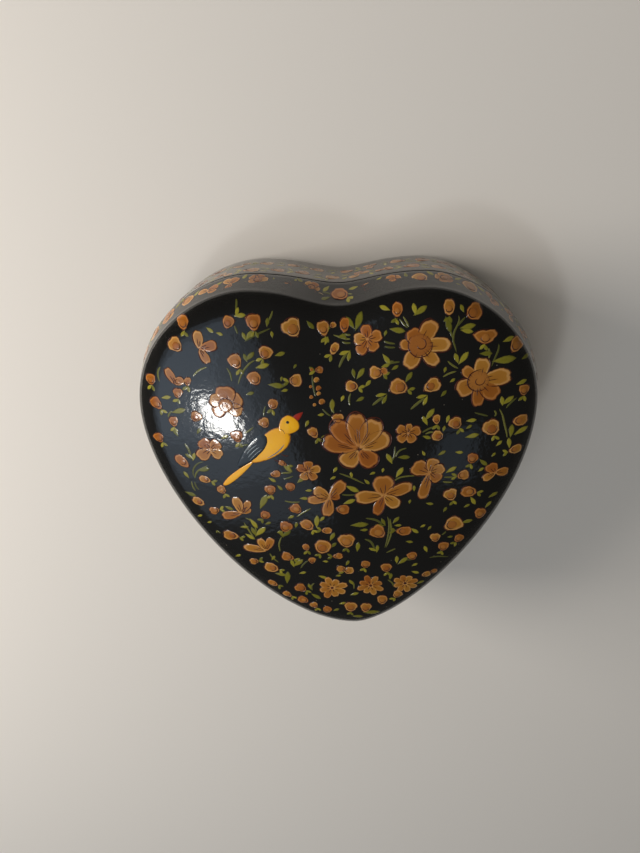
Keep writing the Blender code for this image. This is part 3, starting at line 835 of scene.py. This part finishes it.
STEMS = [
    [(-25.0, 50.3), (-24.6, 53.0), (-24.7, 54.6)], [(-25.6, 48.0), (-25.1, 46.6), (-24.7, 45.2)],
    [(-17.0, 48.0), (-15.9, 49.9), (-15.3, 51.6)], [(-24.0, 43.0), (-20.0, 45.2), (-15.0, 47.3)],
    [(-26.3, 30.3), (-24.5, 34.7), (-22.3, 37.5), (-20.0, 38.8)],
    [(-28.7, 36.8), (-27.6, 34.8), (-27.3, 32.0)], [(-12.0, 32.4), (-13.3, 31.4), (-15.0, 31.2)],
    [(-1.0, 44.9), (2.7, 43.6), (4.8, 43.4)], [(2.5, 44.9), (3.6, 44.5), (4.8, 44.5)],
    [(1.8, 42.9), (3.2, 42.4), (4.9, 42.5)], [(-5.8, 34.8), (-5.6, 31.3), (-4.9, 27.3)],
    [(4.5, 29.4), (3.9, 27.4), (4.2, 25.0)], [(-0.3, 27.2), (-0.5, 24.6), (-0.1, 23.0)],
    [(15.9, 37.8), (14.6, 37.6), (13.3, 36.7)], [(12.6, 43.2), (14.2, 42.6), (16.4, 42.3)],
    [(12.8, 41.8), (14.4, 41.4), (16.4, 41.4)], [(16.4, 49.2), (18.1, 47.3), (19.3, 46.3)],
    [(17.5, 49.8), (18.7, 47.9), (19.4, 46.4)], [(17.7, 37.6), (15.5, 37.4), (13.1, 36.6)],
    [(28.0, 33.0), (30.2, 34.2), (32.4, 34.8)], [(29.2, 37.9), (30.8, 36.4), (32.8, 35.2)],
    [(31.0, 50.5), (31.9, 48.7), (31.7, 47.2), (30.9, 45.3), (30.7, 43.0), (31.4, 40.8), (32.2, 37.6)],
    [(33.8, 49.2), (32.4, 47.7), (31.4, 46.3)], [(29.6, 45.8), (30.2, 44.6), (30.7, 43.2)],
    [(39.7, 41.1), (40.3, 39.2), (40.1, 37.4)],
    [(42.4, 42.2), (42.5, 40.2), (41.7, 37.7), (40.7, 34.6)], [(49.0, 26.9), (47.0, 25.0), (45.7, 23.2)],
    [(36.8, 23.0), (39.8, 22.0), (41.7, 21.4)], [(42.6, 23.4), (43.4, 22.2), (43.0, 21.0)],
    [(43.3, 25.0), (45.1, 21.8), (46.0, 18.9), (46.9, 16.0), (47.4, 13.4)],
    [(52.6, 17.2), (50.6, 16.6), (49.0, 14.6)], [(23.2, 17.0), (25.4, 18.4), (28.4, 19.4)],
    [(24.0, 16.6), (26.0, 17.4), (27.0, 17.0)], [(30.0, 2.8), (32.0, 2.7), (34.2, 2.6)],
    [(29.8, 1.4), (31.6, 1.0), (33.4, 1.0)], [(32.4, -16.4), (31.8, -17.4), (30.8, -18.2)],
    [(27.0, -26.8), (30.8, -26.4), (34.6, -27.2)], [(20.4, -27.0), (21.8, -27.2), (23.0, -27.0)],
    [(16.4, 14.2), (16.3, 10.4), (15.0, 7.5)], [(20.2, 12.9), (17.6, 11.8), (16.4, 9.3)],
    [(15.4, 1.0), (17.6, 3.0), (20.4, 3.6), (23.4, 3.6)], [(0.0, 5.2), (4.2, 3.4), (9.1, 0.6)],
    [(1.0, -2.2), (3.4, -2.5), (5.9, -2.3)], [(15.2, -9.5), (15.9, -14.0), (15.8, -17.6), (13.8, -24.3)],
    [(14.4, -9.0), (15.3, -13.0), (15.0, -18.0), (13.7, -24.0)],
    [(14.0, -24.3), (16.6, -22.9), (17.6, -22.4)],
    [(-12.6, -11.0), (-9.6, -8.6), (-7.0, -6.9)], [(-15.8, -4.6), (-13.0, -5.2), (-10.0, -4.9)],
    [(-11.8, 4.1), (-13.6, 3.2), (-15.5, 2.7)], [(-12.2, 5.0), (-14.4, 4.9), (-16.2, 4.7)],
    [(-3.6, 25.0), (-2.2, 23.4), (-0.8, 22.3)], [(-19.4, 22.2), (-19.2, 24.0), (-18.5, 26.2)],
    [(-25.6, 17.2), (-24.0, 18.0), (-22.0, 19.7)], [(-46.5, 21.2), (-46.0, 22.6), (-44.8, 23.8)],
    [(-41.5, 1.2), (-41.3, 4.7), (-39.6, 7.0), (-37.0, 8.0)], [(-41.5, 1.2), (-40.0, 4.4), (-35.8, 7.0)],
    [(-41.5, 1.2), (-41.2, -1.0), (-40.2, -2.4)], [(-42.4, 1.4), (-42.2, -1.2), (-41.4, -3.0)],
    [(-28.2, -11.2), (-25.9, -12.4), (-24.7, -14.8), (-24.4, -17.8)],
    [(-28.5, -12.2), (-26.4, -17.0), (-24.8, -20.4)], [(-21.2, -24.5), (-20.2, -26.6), (-18.0, -29.0)],
    [(-37.0, -18.6), (-36.8, -17.3), (-35.4, -18.4)], [(-16.6, -17.3), (-17.8, -21.0), (-17.6, -24.8)],
    [(-12.0, -31.0), (-10.6, -28.6), (-8.8, -26.8)], [(2.8, -34.6), (4.6, -36.2), (4.8, -39.6)],
    [(14.8, -34.6), (16.8, -36.6), (17.4, -38.8)], [(-7.4, -36.2), (-8.6, -38.0), (-8.4, -40.4)],
    [(-33.0, 36.8), (-36.0, 35.6), (-38.4, 33.4)], [(-46.4, 36.8), (-47.6, 34.6), (-47.4, 31.4)],
    [(-23.6, 13.9), (-25.6, 13.6), (-27.6, 12.6)],
]
ARROWS = [
    [(1.0, 35.2), (2.3, 38.2), (3.9, 40.3)], [(9.7, 25.2), (11.6, 26.9), (13.6, 28.4)],
    [(19.8, 23.8), (22.1, 26.0), (24.4, 27.9)], [(7.5, -18.2), (10.0, -19.6), (11.5, -23.4)],
    [(7.5, -10.5), (11.3, -11.4), (13.8, -13.4)], [(-43.0, 14.0), (-41.8, 11.5), (-41.2, 8.2)],
]
for each in LEAVES:
    leaf("top", *each)
for each in SPRIGS:
    sprig("top", *each)
for each in STEMS:
    stem("top", each)
for each in ARROWS:
    arrow("top", each)
print(f"{len(LEAVES)} leaves, {len(SPRIGS)} sprigs, {len(STEMS)} stems, {len(ARROWS)} arrow leaves")

# %% [markdown]
# ## The bird
# One bird sits among the flowers on the left. It is a plain songbird, put together from eggs of paint
# on simple proportions: a body, a head, a narrow tail, and a folded wing with pale feather lines.

# %% Bird
def bird(side, x, y, length, angle):
    """A songbird that looks along angle. Places are shares of its length from its middle, forwards and
    towards its back, and an egg is its two places, its length, its width and a turn."""
    def place(forwards, back):
        return turned(np.array([back]) * length, np.array([forwards]) * length, x, y, angle)[0]

    def part(colour, forwards, back, long, wide, turn, lift, fullness=0.3):
        edge = egg(*place(forwards, back), long * length, wide * length, angle + turn, 30, fullness, 0.01)
        dab(side, colour, edge, lift)

    def mark(colour, shares, width, lift):
        line(side, colour, [place(*share) for share in shares], width, lift)

    part("bird", -0.31, -0.01, 0.4, 0.06, 180, 0.0)
    part("bird", 0.08, 0.0, 0.46, 0.21, 0, 0.01)
    part("bird", 0.33, 0.03, 0.19, 0.16, 0, 0.02)
    part("beak", 0.45, 0.035, 0.11, 0.05, 180, 0.0, 0.6)
    part("wing", -0.06, 0.06, 0.42, 0.13, 8, ON_PETAL)
    part("wing", 0.35, 0.055, 0.03, 0.03, 0, ON_PETAL, 0.0)
    for row in range(4):
        back = 0.02 + 0.028 * row
        tip = (-0.2 + 0.02 * row, back - 0.015)
        mark("feather", [(0.08, back), (-0.06, back + 0.005), tip], EDGE_WIDTH, ON_HEART)
    mark("feather", [(0.26, -0.05), (0.1, -0.08), (-0.08, -0.05)], 0.4, ON_PETAL)
    mark("line", [(0.25, 0.08), (0.27, 0.03), (0.25, -0.03)], 0.36, ON_PETAL)
    for foot in (0.02, 0.1):
        mark("line", [(foot, -0.1), (foot + 0.02, -0.15), (foot + 0.05, -0.17)], 0.36, 0.0)


bird("top", -20.5, 11.5, 34.0, 42)

# %% [markdown]
# ## The walls
# The same buds, small roses and leaves run round the side of the lid and round the base. Here they
# are only spaced by rule, with the size, the turn and the choice of each left to a seeded random
# generator, as a hand that fills a border varies what it paints.

# %% Wall decoration
def border(side, height, room, spacing, shift):
    """Motifs round the wall at one height, each moved a little off its even place."""
    count = int(GIRTH / spacing)
    for number in range(count):
        x = (number + shift) * GIRTH / count + chance.uniform(-0.5, 0.5)
        y = height + chance.uniform(-0.18, 0.18) * room
        big = room * chance.uniform(0.78, 1.06)
        angle = chance.uniform(0, 360)
        kind = chance.random()
        if kind < 0.36:
            bud(side, x, y, big * 0.8, big * 0.7, angle)
        elif kind < 0.72:
            petals = [(angle + turn, big * 0.5, big * 0.46) for turn in (0, 80, 150, 225, 290)]
            blossom(side, x, y, petals, big * 0.18)
        else:
            petals = [(angle + turn, big * 0.54, big * 0.4) for turn in (0, 60, 190)]
            blossom(side, x, y, petals)
        for turn in (-1, 1):
            leaf(side, x + spacing * 0.5, y + room * 0.28 * turn, 2.4, chance.uniform(0, 180))
        sway = chance.uniform(-1, 1)
        stem(side, [(x + 1.4, y - sway), (x + spacing * 0.5, y + sway), (x + spacing * 0.85, y - sway / 2)])


border("lid_side", 26.9, 6.2, 7.0, 0.0)
border("base_side", 17.4, 6.2, 7.4, 0.3)
border("base_side", 9.6, 6.2, 7.4, 0.8)

# Near the notch, the lid's wall is scratched through to a gold-brown layer below.
SCRATCHES = [
    [(4.0, 29.4), (5.4, 28.6), (6.6, 29.2)], [(4.6, 28.2), (5.8, 29.0), (7.4, 28.4)],
    [(5.2, 27.6), (6.4, 28.4), (6.8, 29.8)], [(6.2, 27.4), (7.4, 28.0), (8.6, 27.8)],
    [(3.4, 28.4), (4.4, 27.8), (5.6, 28.0)],
]
for scratch in SCRATCHES:
    line("lid_side", "scratch", scratch, 0.34, 0.04)

# %% [markdown]
# ## One mesh for each colour
# A decorator works colour by colour, and so do these meshes. All dabs of one colour that move with
# one half of the box are joined, so hundreds of dabs make only a few pieces.

# %% Paint meshes
SURFACES = {"top": on_lid, "lid_side": on_wall, "base_side": on_wall}
SIDES = {"lid": ("top", "lid_side"), "base": ("base_side",)}
NAMES = {"petal": "petal_paint", "heart": "heart_paint", "line": "petal_lines", "leaf": "leaf_paint",
         "stem": "stem_paint", "bird": "bird_paint", "wing": "wing_paint", "feather": "feather_lines",
         "beak": "beak_paint", "scratch": "scratch_marks"}


def paint_mesh(name, piles):
    """One mesh of all the piles of a colour, each pile put on its own side's surface."""
    points, faces, rims, tones, start = [], [], [], [], 0
    for side, pile in piles:
        points.append(SURFACES[side](np.concatenate(pile["places"]), np.concatenate(pile["lifts"])))
        faces += (np.concatenate(pile["faces"]) + start).tolist()
        rims += pile["rim"]
        tones += pile["tone"]
        start += pile["count"]
    faces = [corners[:3] if corners[0] == corners[3] else corners for corners in faces]
    piece = add_mesh(name, np.concatenate(points), faces)
    for label, values in (("rim", rims), ("tone", tones)):
        attribute = piece.data.attributes.new(label, "FLOAT", "POINT")
        attribute.data.foreach_set("value", np.concatenate(values))
    return piece


film = {}
for body, sides in SIDES.items():
    for colour, name in NAMES.items():
        piles = [(side, paint[side, colour]) for side in sides if (side, colour) in paint]
        if piles:
            film[body, colour] = paint_mesh(f"{body}_{name}", piles)

# %% [markdown]
# ## Varnished paint
# Every finish here is gouache or lacquer under the same oil varnish. The pigment below is dull and
# scatters light, and the varnish on top is clear and smooth, so the eye sees strong colour with
# sharp reflections over it. The varnish was brushed, and it shrank a little as it dried, so its
# reflections break up into small cells. A coat layer with its own bump says just that.

# %% Node helpers
def linear(colour):
    """An sRGB hex colour as linear red, green, blue and 1."""
    parts = [int(colour[at:at + 2], 16) / 255 for at in (1, 3, 5)]
    return [*(p / 12.92 if p <= 0.04045 else ((p + 0.055) / 1.055)**2.4 for p in parts), 1.0]


def add_node(tree, kind, settings=None, links=None):
    """Adds a shader node. Settings go to its own properties where it has them and else to its inputs;
    links join its inputs to the outputs of other nodes. Inputs can be given by name or by number."""
    node = tree.nodes.new(kind)
    for name, value in (settings or {}).items():
        if isinstance(name, str) and hasattr(node, name):
            setattr(node, name, value)
        else:
            node.inputs[name].default_value = value
    for name, output in (links or {}).items():
        tree.links.new(output, node.inputs[name])
    return node


def new_material(name):
    """An empty node material, its tree and the place on each piece, in metres from the frame's origin."""
    material = bpy.data.materials.new(name)
    material.use_nodes = True
    tree = material.node_tree
    tree.nodes.clear()
    return material, tree, add_node(tree, "ShaderNodeTexCoord").outputs["Object"]


def noise(tree, place, size_mm, detail):
    """Cloudy noise whose patches are about size_mm across."""
    node = add_node(tree, "ShaderNodeTexNoise", {"Scale": 1 / (size_mm * MM), "Detail": detail},
                    {"Vector": place})
    return node.outputs["Fac"]


def ramp(tree, factor, stops):
    """A colour ramp through (position, hex colour) stops."""
    node = add_node(tree, "ShaderNodeValToRGB", links={"Fac": factor})
    while len(node.color_ramp.elements) < len(stops):
        node.color_ramp.elements.new(0.5)
    for element, (position, colour) in zip(node.color_ramp.elements, stops):
        element.position = position
        element.color = linear(colour)
    return node.outputs["Color"]


def mixed(tree, factor, first, second, blend="MIX"):
    """Two colours mixed by a factor."""
    node = add_node(tree, "ShaderNodeMix", {"data_type": "RGBA", "blend_type": blend})
    for name, value in (("Factor", factor), ("A", first), ("B", second)):
        socket = node.inputs[name]
        if isinstance(value, (list, float)):
            socket.default_value = value
        else:
            tree.links.new(value, socket)
    return node.outputs["Result"]


VARNISH_CELL_MM = 1.5
VARNISH_RIPPLE_MM = 0.03
VARNISH_GRAIN_MM = 0.4
VARNISH_GRAIN_RIPPLE_MM = 0.007


def varnished(tree, place, colour, links=None):
    """Pigment under a clear coat whose normal ripples in two sizes of cell."""
    cells = add_node(tree, "ShaderNodeBump", {"Distance": VARNISH_RIPPLE_MM * MM, "Strength": 1.0},
                     {"Height": noise(tree, place, VARNISH_CELL_MM, 1.0)})
    grain = add_node(tree, "ShaderNodeBump", {"Distance": VARNISH_GRAIN_RIPPLE_MM * MM, "Strength": 1.0},
                     {"Height": noise(tree, place, VARNISH_GRAIN_MM, 1.0), "Normal": cells.outputs["Normal"]})
    shader = add_node(tree, "ShaderNodeBsdfPrincipled",
                      {"Roughness": 0.55, "Specular IOR Level": 0.2, "Coat Weight": 1.0,
                       "Coat Roughness": 0.08, "Coat IOR": 1.6},
                      {"Base Color": colour, "Coat Normal": grain.outputs["Normal"], **(links or {})})
    add_node(tree, "ShaderNodeOutputMaterial", links={"Surface": shader.outputs["BSDF"]})


# %% [markdown]
# ## Black lacquer
# The ground is lamp black bound in oil and baked in several coats, so it is deep and even. Up close
# it carries dust and a few pinholes. Years of opening have rubbed the varnish off along the parting
# edges, which leaves a dull black line, and here and there the black has chipped down to tan board.

# %% Black lacquer
DUST_MM = 4.5
CHIP_CELL_MM = 5
CHIP_REACH_MM = 2.4
CHIP_FROM_MM = 1.4
CHIP_TO_MM = 1.46
RUBBED_MM = (0.28, 0.6)

lacquer, tree, place = new_material("black lacquer")
cloud = noise(tree, place, 30, 3.0)
black = ramp(tree, cloud, [(0.35, "#060605"), (0.65, "#0E0D0C")])
specks = add_node(tree, "ShaderNodeTexVoronoi", {"Scale": 1 / (DUST_MM * MM)}, {"Vector": place})
speck = ramp(tree, specks.outputs["Distance"], [(0.0, "#FFFFFF"), (0.035, "#FFFFFF"), (0.05, "#000000")])
black = mixed(tree, speck, black, linear("#5A564C"))
height = add_node(tree, "ShaderNodeSeparateXYZ", links={"Vector": place}).outputs["Z"]
from_parting = add_node(tree, "ShaderNodeMath", {"operation": "SUBTRACT", 1: PARTING * MM}, {0: height})
apart = add_node(tree, "ShaderNodeMath", {"operation": "ABSOLUTE"}, {0: from_parting.outputs[0]})
chip_reach = add_node(tree, "ShaderNodeMath", {"operation": "MULTIPLY", 1: CHIP_REACH_MM * MM},
                      {0: noise(tree, place, CHIP_CELL_MM, 4.0)})
worn = add_node(tree, "ShaderNodeMath", {"operation": "SUBTRACT"},
                {0: chip_reach.outputs[0], 1: apart.outputs[0]})
chipped = add_node(tree, "ShaderNodeMapRange", {"From Min": CHIP_FROM_MM * MM, "From Max": CHIP_TO_MM * MM},
                   {"Value": worn.outputs[0]})
black = mixed(tree, chipped.outputs[0], black, linear("#7C6446"))
rubbed = add_node(tree, "ShaderNodeMapRange",
                  {"From Min": RUBBED_MM[0] * MM, "From Max": RUBBED_MM[1] * MM},
                  {"Value": apart.outputs[0]})
varnished(tree, place, black, links={"Coat Weight": rubbed.outputs[0]})

inside_black, tree, place = new_material("black inside paint")
dull = ramp(tree, noise(tree, place, 2.5, 4.0), [(0.3, "#121110"), (0.7, "#1E1C1A")])
shader = add_node(tree, "ShaderNodeBsdfPrincipled", {"Roughness": 0.72}, {"Base Color": dull})
add_node(tree, "ShaderNodeOutputMaterial", links={"Surface": shader.outputs["BSDF"]})

# %% [markdown]
# ## Gouache
# Gouache is opaque pigment in gum. A wet dab carries its pigment to the rim as it dries, so petals
# are paler and crisper round the edge and warmer in the middle. The rim and tone numbers that the
# dabs carry drive this, and fine streaks follow the bristles.

# %% Gouache
def gouache(name, stops, shade, streak=0.35):
    """Paint whose colour runs from a dab's middle to its rim, shaded from dab to dab and by streaks."""
    material, tree, place = new_material(name)
    rim = add_node(tree, "ShaderNodeAttribute", {"attribute_name": "rim"}).outputs["Fac"]
    tone = add_node(tree, "ShaderNodeAttribute", {"attribute_name": "tone"}).outputs["Fac"]
    streaks = noise(tree, place, 0.7, 3.0)
    moved = add_node(tree, "ShaderNodeMath", {"operation": "MULTIPLY_ADD", 1: streak, 2: -streak / 2},
                     {0: streaks})
    edge = add_node(tree, "ShaderNodeMath", {"operation": "ADD", "use_clamp": True},
                    {0: rim, 1: moved.outputs[0]})
    colour = ramp(tree, edge.outputs[0], stops)
    colour = mixed(tree, 1.0, colour, ramp(tree, tone, [(0.0, shade), (1.0, "#FFFFFF")]), "MULTIPLY")
    varnished(tree, place, colour)
    return material


gouaches = {
    "petal": gouache("petal gouache", [(0.0, "#A06C20"), (0.66, "#A87628"), (0.76, "#C6985A"),
                                       (0.86, "#BC8C4C"), (0.91, "#4A260F")], "#D8B284", 0.12),
    "heart": gouache("heart gouache", [(0.0, "#A8702C"), (0.8, "#A06A2A"), (1.0, "#80501F")], "#DCC0A0"),
    "line": gouache("dark line gouache", [(0.0, "#461A0C"), (1.0, "#582612")], "#B89C90"),
    "leaf": gouache("leaf gouache", [(0.0, "#8E861E"), (0.6, "#989028"), (1.0, "#6E6A22")], "#A4AE84"),
    "stem": gouache("stem gouache", [(0.0, "#66682A"), (1.0, "#727030")], "#A8B098"),
    "bird": gouache("bird gouache", [(0.0, "#F2BA0A"), (0.88, "#EAAC0C"), (0.95, "#7A4410")],
                    "#FFF8EA", 0.1),
    "wing": gouache("wing gouache", [(0.0, "#0E1519"), (1.0, "#182026")], "#C0C0C0"),
    "feather": gouache("feather gouache", [(0.0, "#88949A"), (1.0, "#687278")], "#C8C8C8"),
    "scratch": gouache("gold-brown size", [(0.0, "#A8946A"), (1.0, "#8A744A")], "#D8D0C0"),
    "beak": gouache("beak gouache", [(0.0, "#B4280E"), (1.0, "#84200E")], "#D0B0A8"),
}

# %% [markdown]
# ## Finishes on the pieces
# The collar has the same dull black as the inside. The paint film takes one gouache per mesh.

# %% Finishes and the table of pieces
def inside_faces(shell, first, last):
    """Gives the rings between two numbers of a shell the inside paint."""
    kinds = np.zeros(len(shell.data.polygons), int)
    kinds[first * COLUMNS:last * COLUMNS] = 1
    kinds[-COLUMNS:] = 1
    shell.data.polygons.foreach_set("material_index", kinds)


for shell in (lid_shell, base_shell):
    shell.data.materials.append(lacquer)
    shell.data.materials.append(inside_black)
inside_faces(lid_shell, len(outside) + len(quarter), len(outside) + len(inside) - 1)
corner_rings = len(quarter) - 1
inside_faces(base_shell, len(tray) - TRAY_RINGS - corner_rings - INNER_RINGS, len(tray) - 1)
collar_strip.data.materials.append(inside_black)
for (body, colour), piece in film.items():
    piece.data.materials.append(gouaches[colour])

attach(lid_shell, "lid")
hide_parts("lid_wall", "lid_crown")
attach(base_shell, "base")
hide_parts("base_floor", "base_wall")
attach(collar_strip, "base")
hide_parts("base_collar")
for (body, colour), piece in film.items():
    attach(piece, body)

# %% [markdown]
# ## Camera
# The camera looks down over the lobes from about twenty centimetres, which is near enough to make
# the lobes look large and the point small. A 27 mm lens fits the box into the upright frame.

# %% Camera
CAMERA_MM = Vector((5.6, 98.4, 192.9))
TARGET_MM = Vector((-5.2, 10.6, 20.0))
ROLL = -0.034


def facing(place, target, up_hint, roll=0.0):
    """A matrix that stands at a place in mm and looks along its own -Z at a target."""
    ahead = (target - place).normalized()
    right = ahead.cross(up_hint).normalized()
    up = right.cross(ahead)
    right, up = (right * math.cos(roll) + up * math.sin(roll), up * math.cos(roll) - right * math.sin(roll))
    turn = Matrix((right, up, -ahead)).transposed().to_4x4()
    return Matrix.Translation(place * MM) @ turn


lens = bpy.data.cameras.new("camera")
lens.lens = 27.0
lens.sensor_width = 36.0
lens.clip_start = 0.01
camera = bpy.data.objects.new("camera", lens)
camera.matrix_world = facing(CAMERA_MM, TARGET_MM, Vector((0, 1, 0)), ROLL)
bpy.context.scene.collection.objects.link(camera)
bpy.context.scene.camera = camera

# %% [markdown]
# ## Floor and light
# Glossy black shows its surroundings, so the light is built in two parts. A wide soft lamp lights
# the floor and the pigments without being mirrored, and a small bright window, set where the left
# side of the dome mirrors it to the camera, gives the one clear highlight. Dim, bluish panels
# spread a faint sheen over the left of the lid and leave a small patch on the right.

# %% Floor and lights
FLOOR_MM = 3000.0
FLOOR_LEVEL = -0.15
half = FLOOR_MM / 2
square = ((-half, -half), (half, -half), (half, half), (-half, half))
corners = np.array([[x, y, FLOOR_LEVEL] for x, y in square])
floor = add_mesh("floor", corners, [[0, 1, 2, 3]])
table_top, tree, place = new_material("pale table")
shader = add_node(tree, "ShaderNodeBsdfPrincipled",
                  {"Base Color": linear("#DCDBD8"), "Roughness": 0.6, "Specular IOR Level": 0.2})
add_node(tree, "ShaderNodeOutputMaterial", links={"Surface": shader.outputs["BSDF"]})
floor.data.materials.append(table_top)


def lamp(name, place, target, width, height, brightness, colour="#FFFFFF", mirrored=True):
    """A flat lamp in mm; brightness is what a mirror shows of it. Its power is brightness x area x pi."""
    light = bpy.data.lights.new(name, "AREA")
    light.shape = "RECTANGLE"
    light.size = width * MM
    light.size_y = height * MM
    light.energy = brightness * width * height * MM**2 * math.pi
    light.color = linear(colour)[:3]
    holder = bpy.data.objects.new(name, light)
    holder.matrix_world = facing(place, target, Vector((0, 1, 0)))
    holder.visible_glossy = mirrored
    bpy.context.scene.collection.objects.link(holder)


def mirrored_from(spot, distance):
    """Where a lamp must be for the lid, at an (x, y) spot, to mirror it to the camera."""
    spot = np.array([spot], float)
    foot = Vector(on_lid(spot, 0.0)[0])
    normal = (Vector(on_lid(spot, 1.0)[0]) - foot).normalized()
    ray = (foot - CAMERA_MM).normalized()
    return foot + ray.reflect(normal) * distance, foot


window_place, window_target = mirrored_from((-31.5, 22), 1300)
lamp("window", window_place, window_target, 130, 150, 26.0, "#FFFDF8")
sheen_place, sheen_target = mirrored_from((-42, 30), 1500)
for number, size in enumerate((420, 700, 1000)):
    nearer = sheen_place.lerp(sheen_target, 0.02 * number)
    lamp(f"sheen_{number}", nearer, sheen_target, size, size * 1.3, 0.62, "#AABCD0")
patch_place, patch_target = mirrored_from((33, 11), 1300)
lamp("patch", patch_place, patch_target, 170, 220, 0.5, "#A4B8CC")
lamp("fill", Vector((-200, 200, 1500)), Vector((0, 0, 0)), 1400, 1400, 0.82, "#FFF4E6", mirrored=False)
lamp("key", Vector((-520, 120, 170)), Vector((0, 0, 20)), 320, 320, 14.0, "#FFF4E8", mirrored=False)

world = bpy.data.worlds.new("studio")
world.use_nodes = True
world.node_tree.nodes["Background"].inputs["Color"].default_value = linear("#D2CDC4")
world.node_tree.nodes["Background"].inputs["Strength"].default_value = 0.1
bpy.context.scene.world = world
bpy.context.scene.view_settings.view_transform = "Standard"
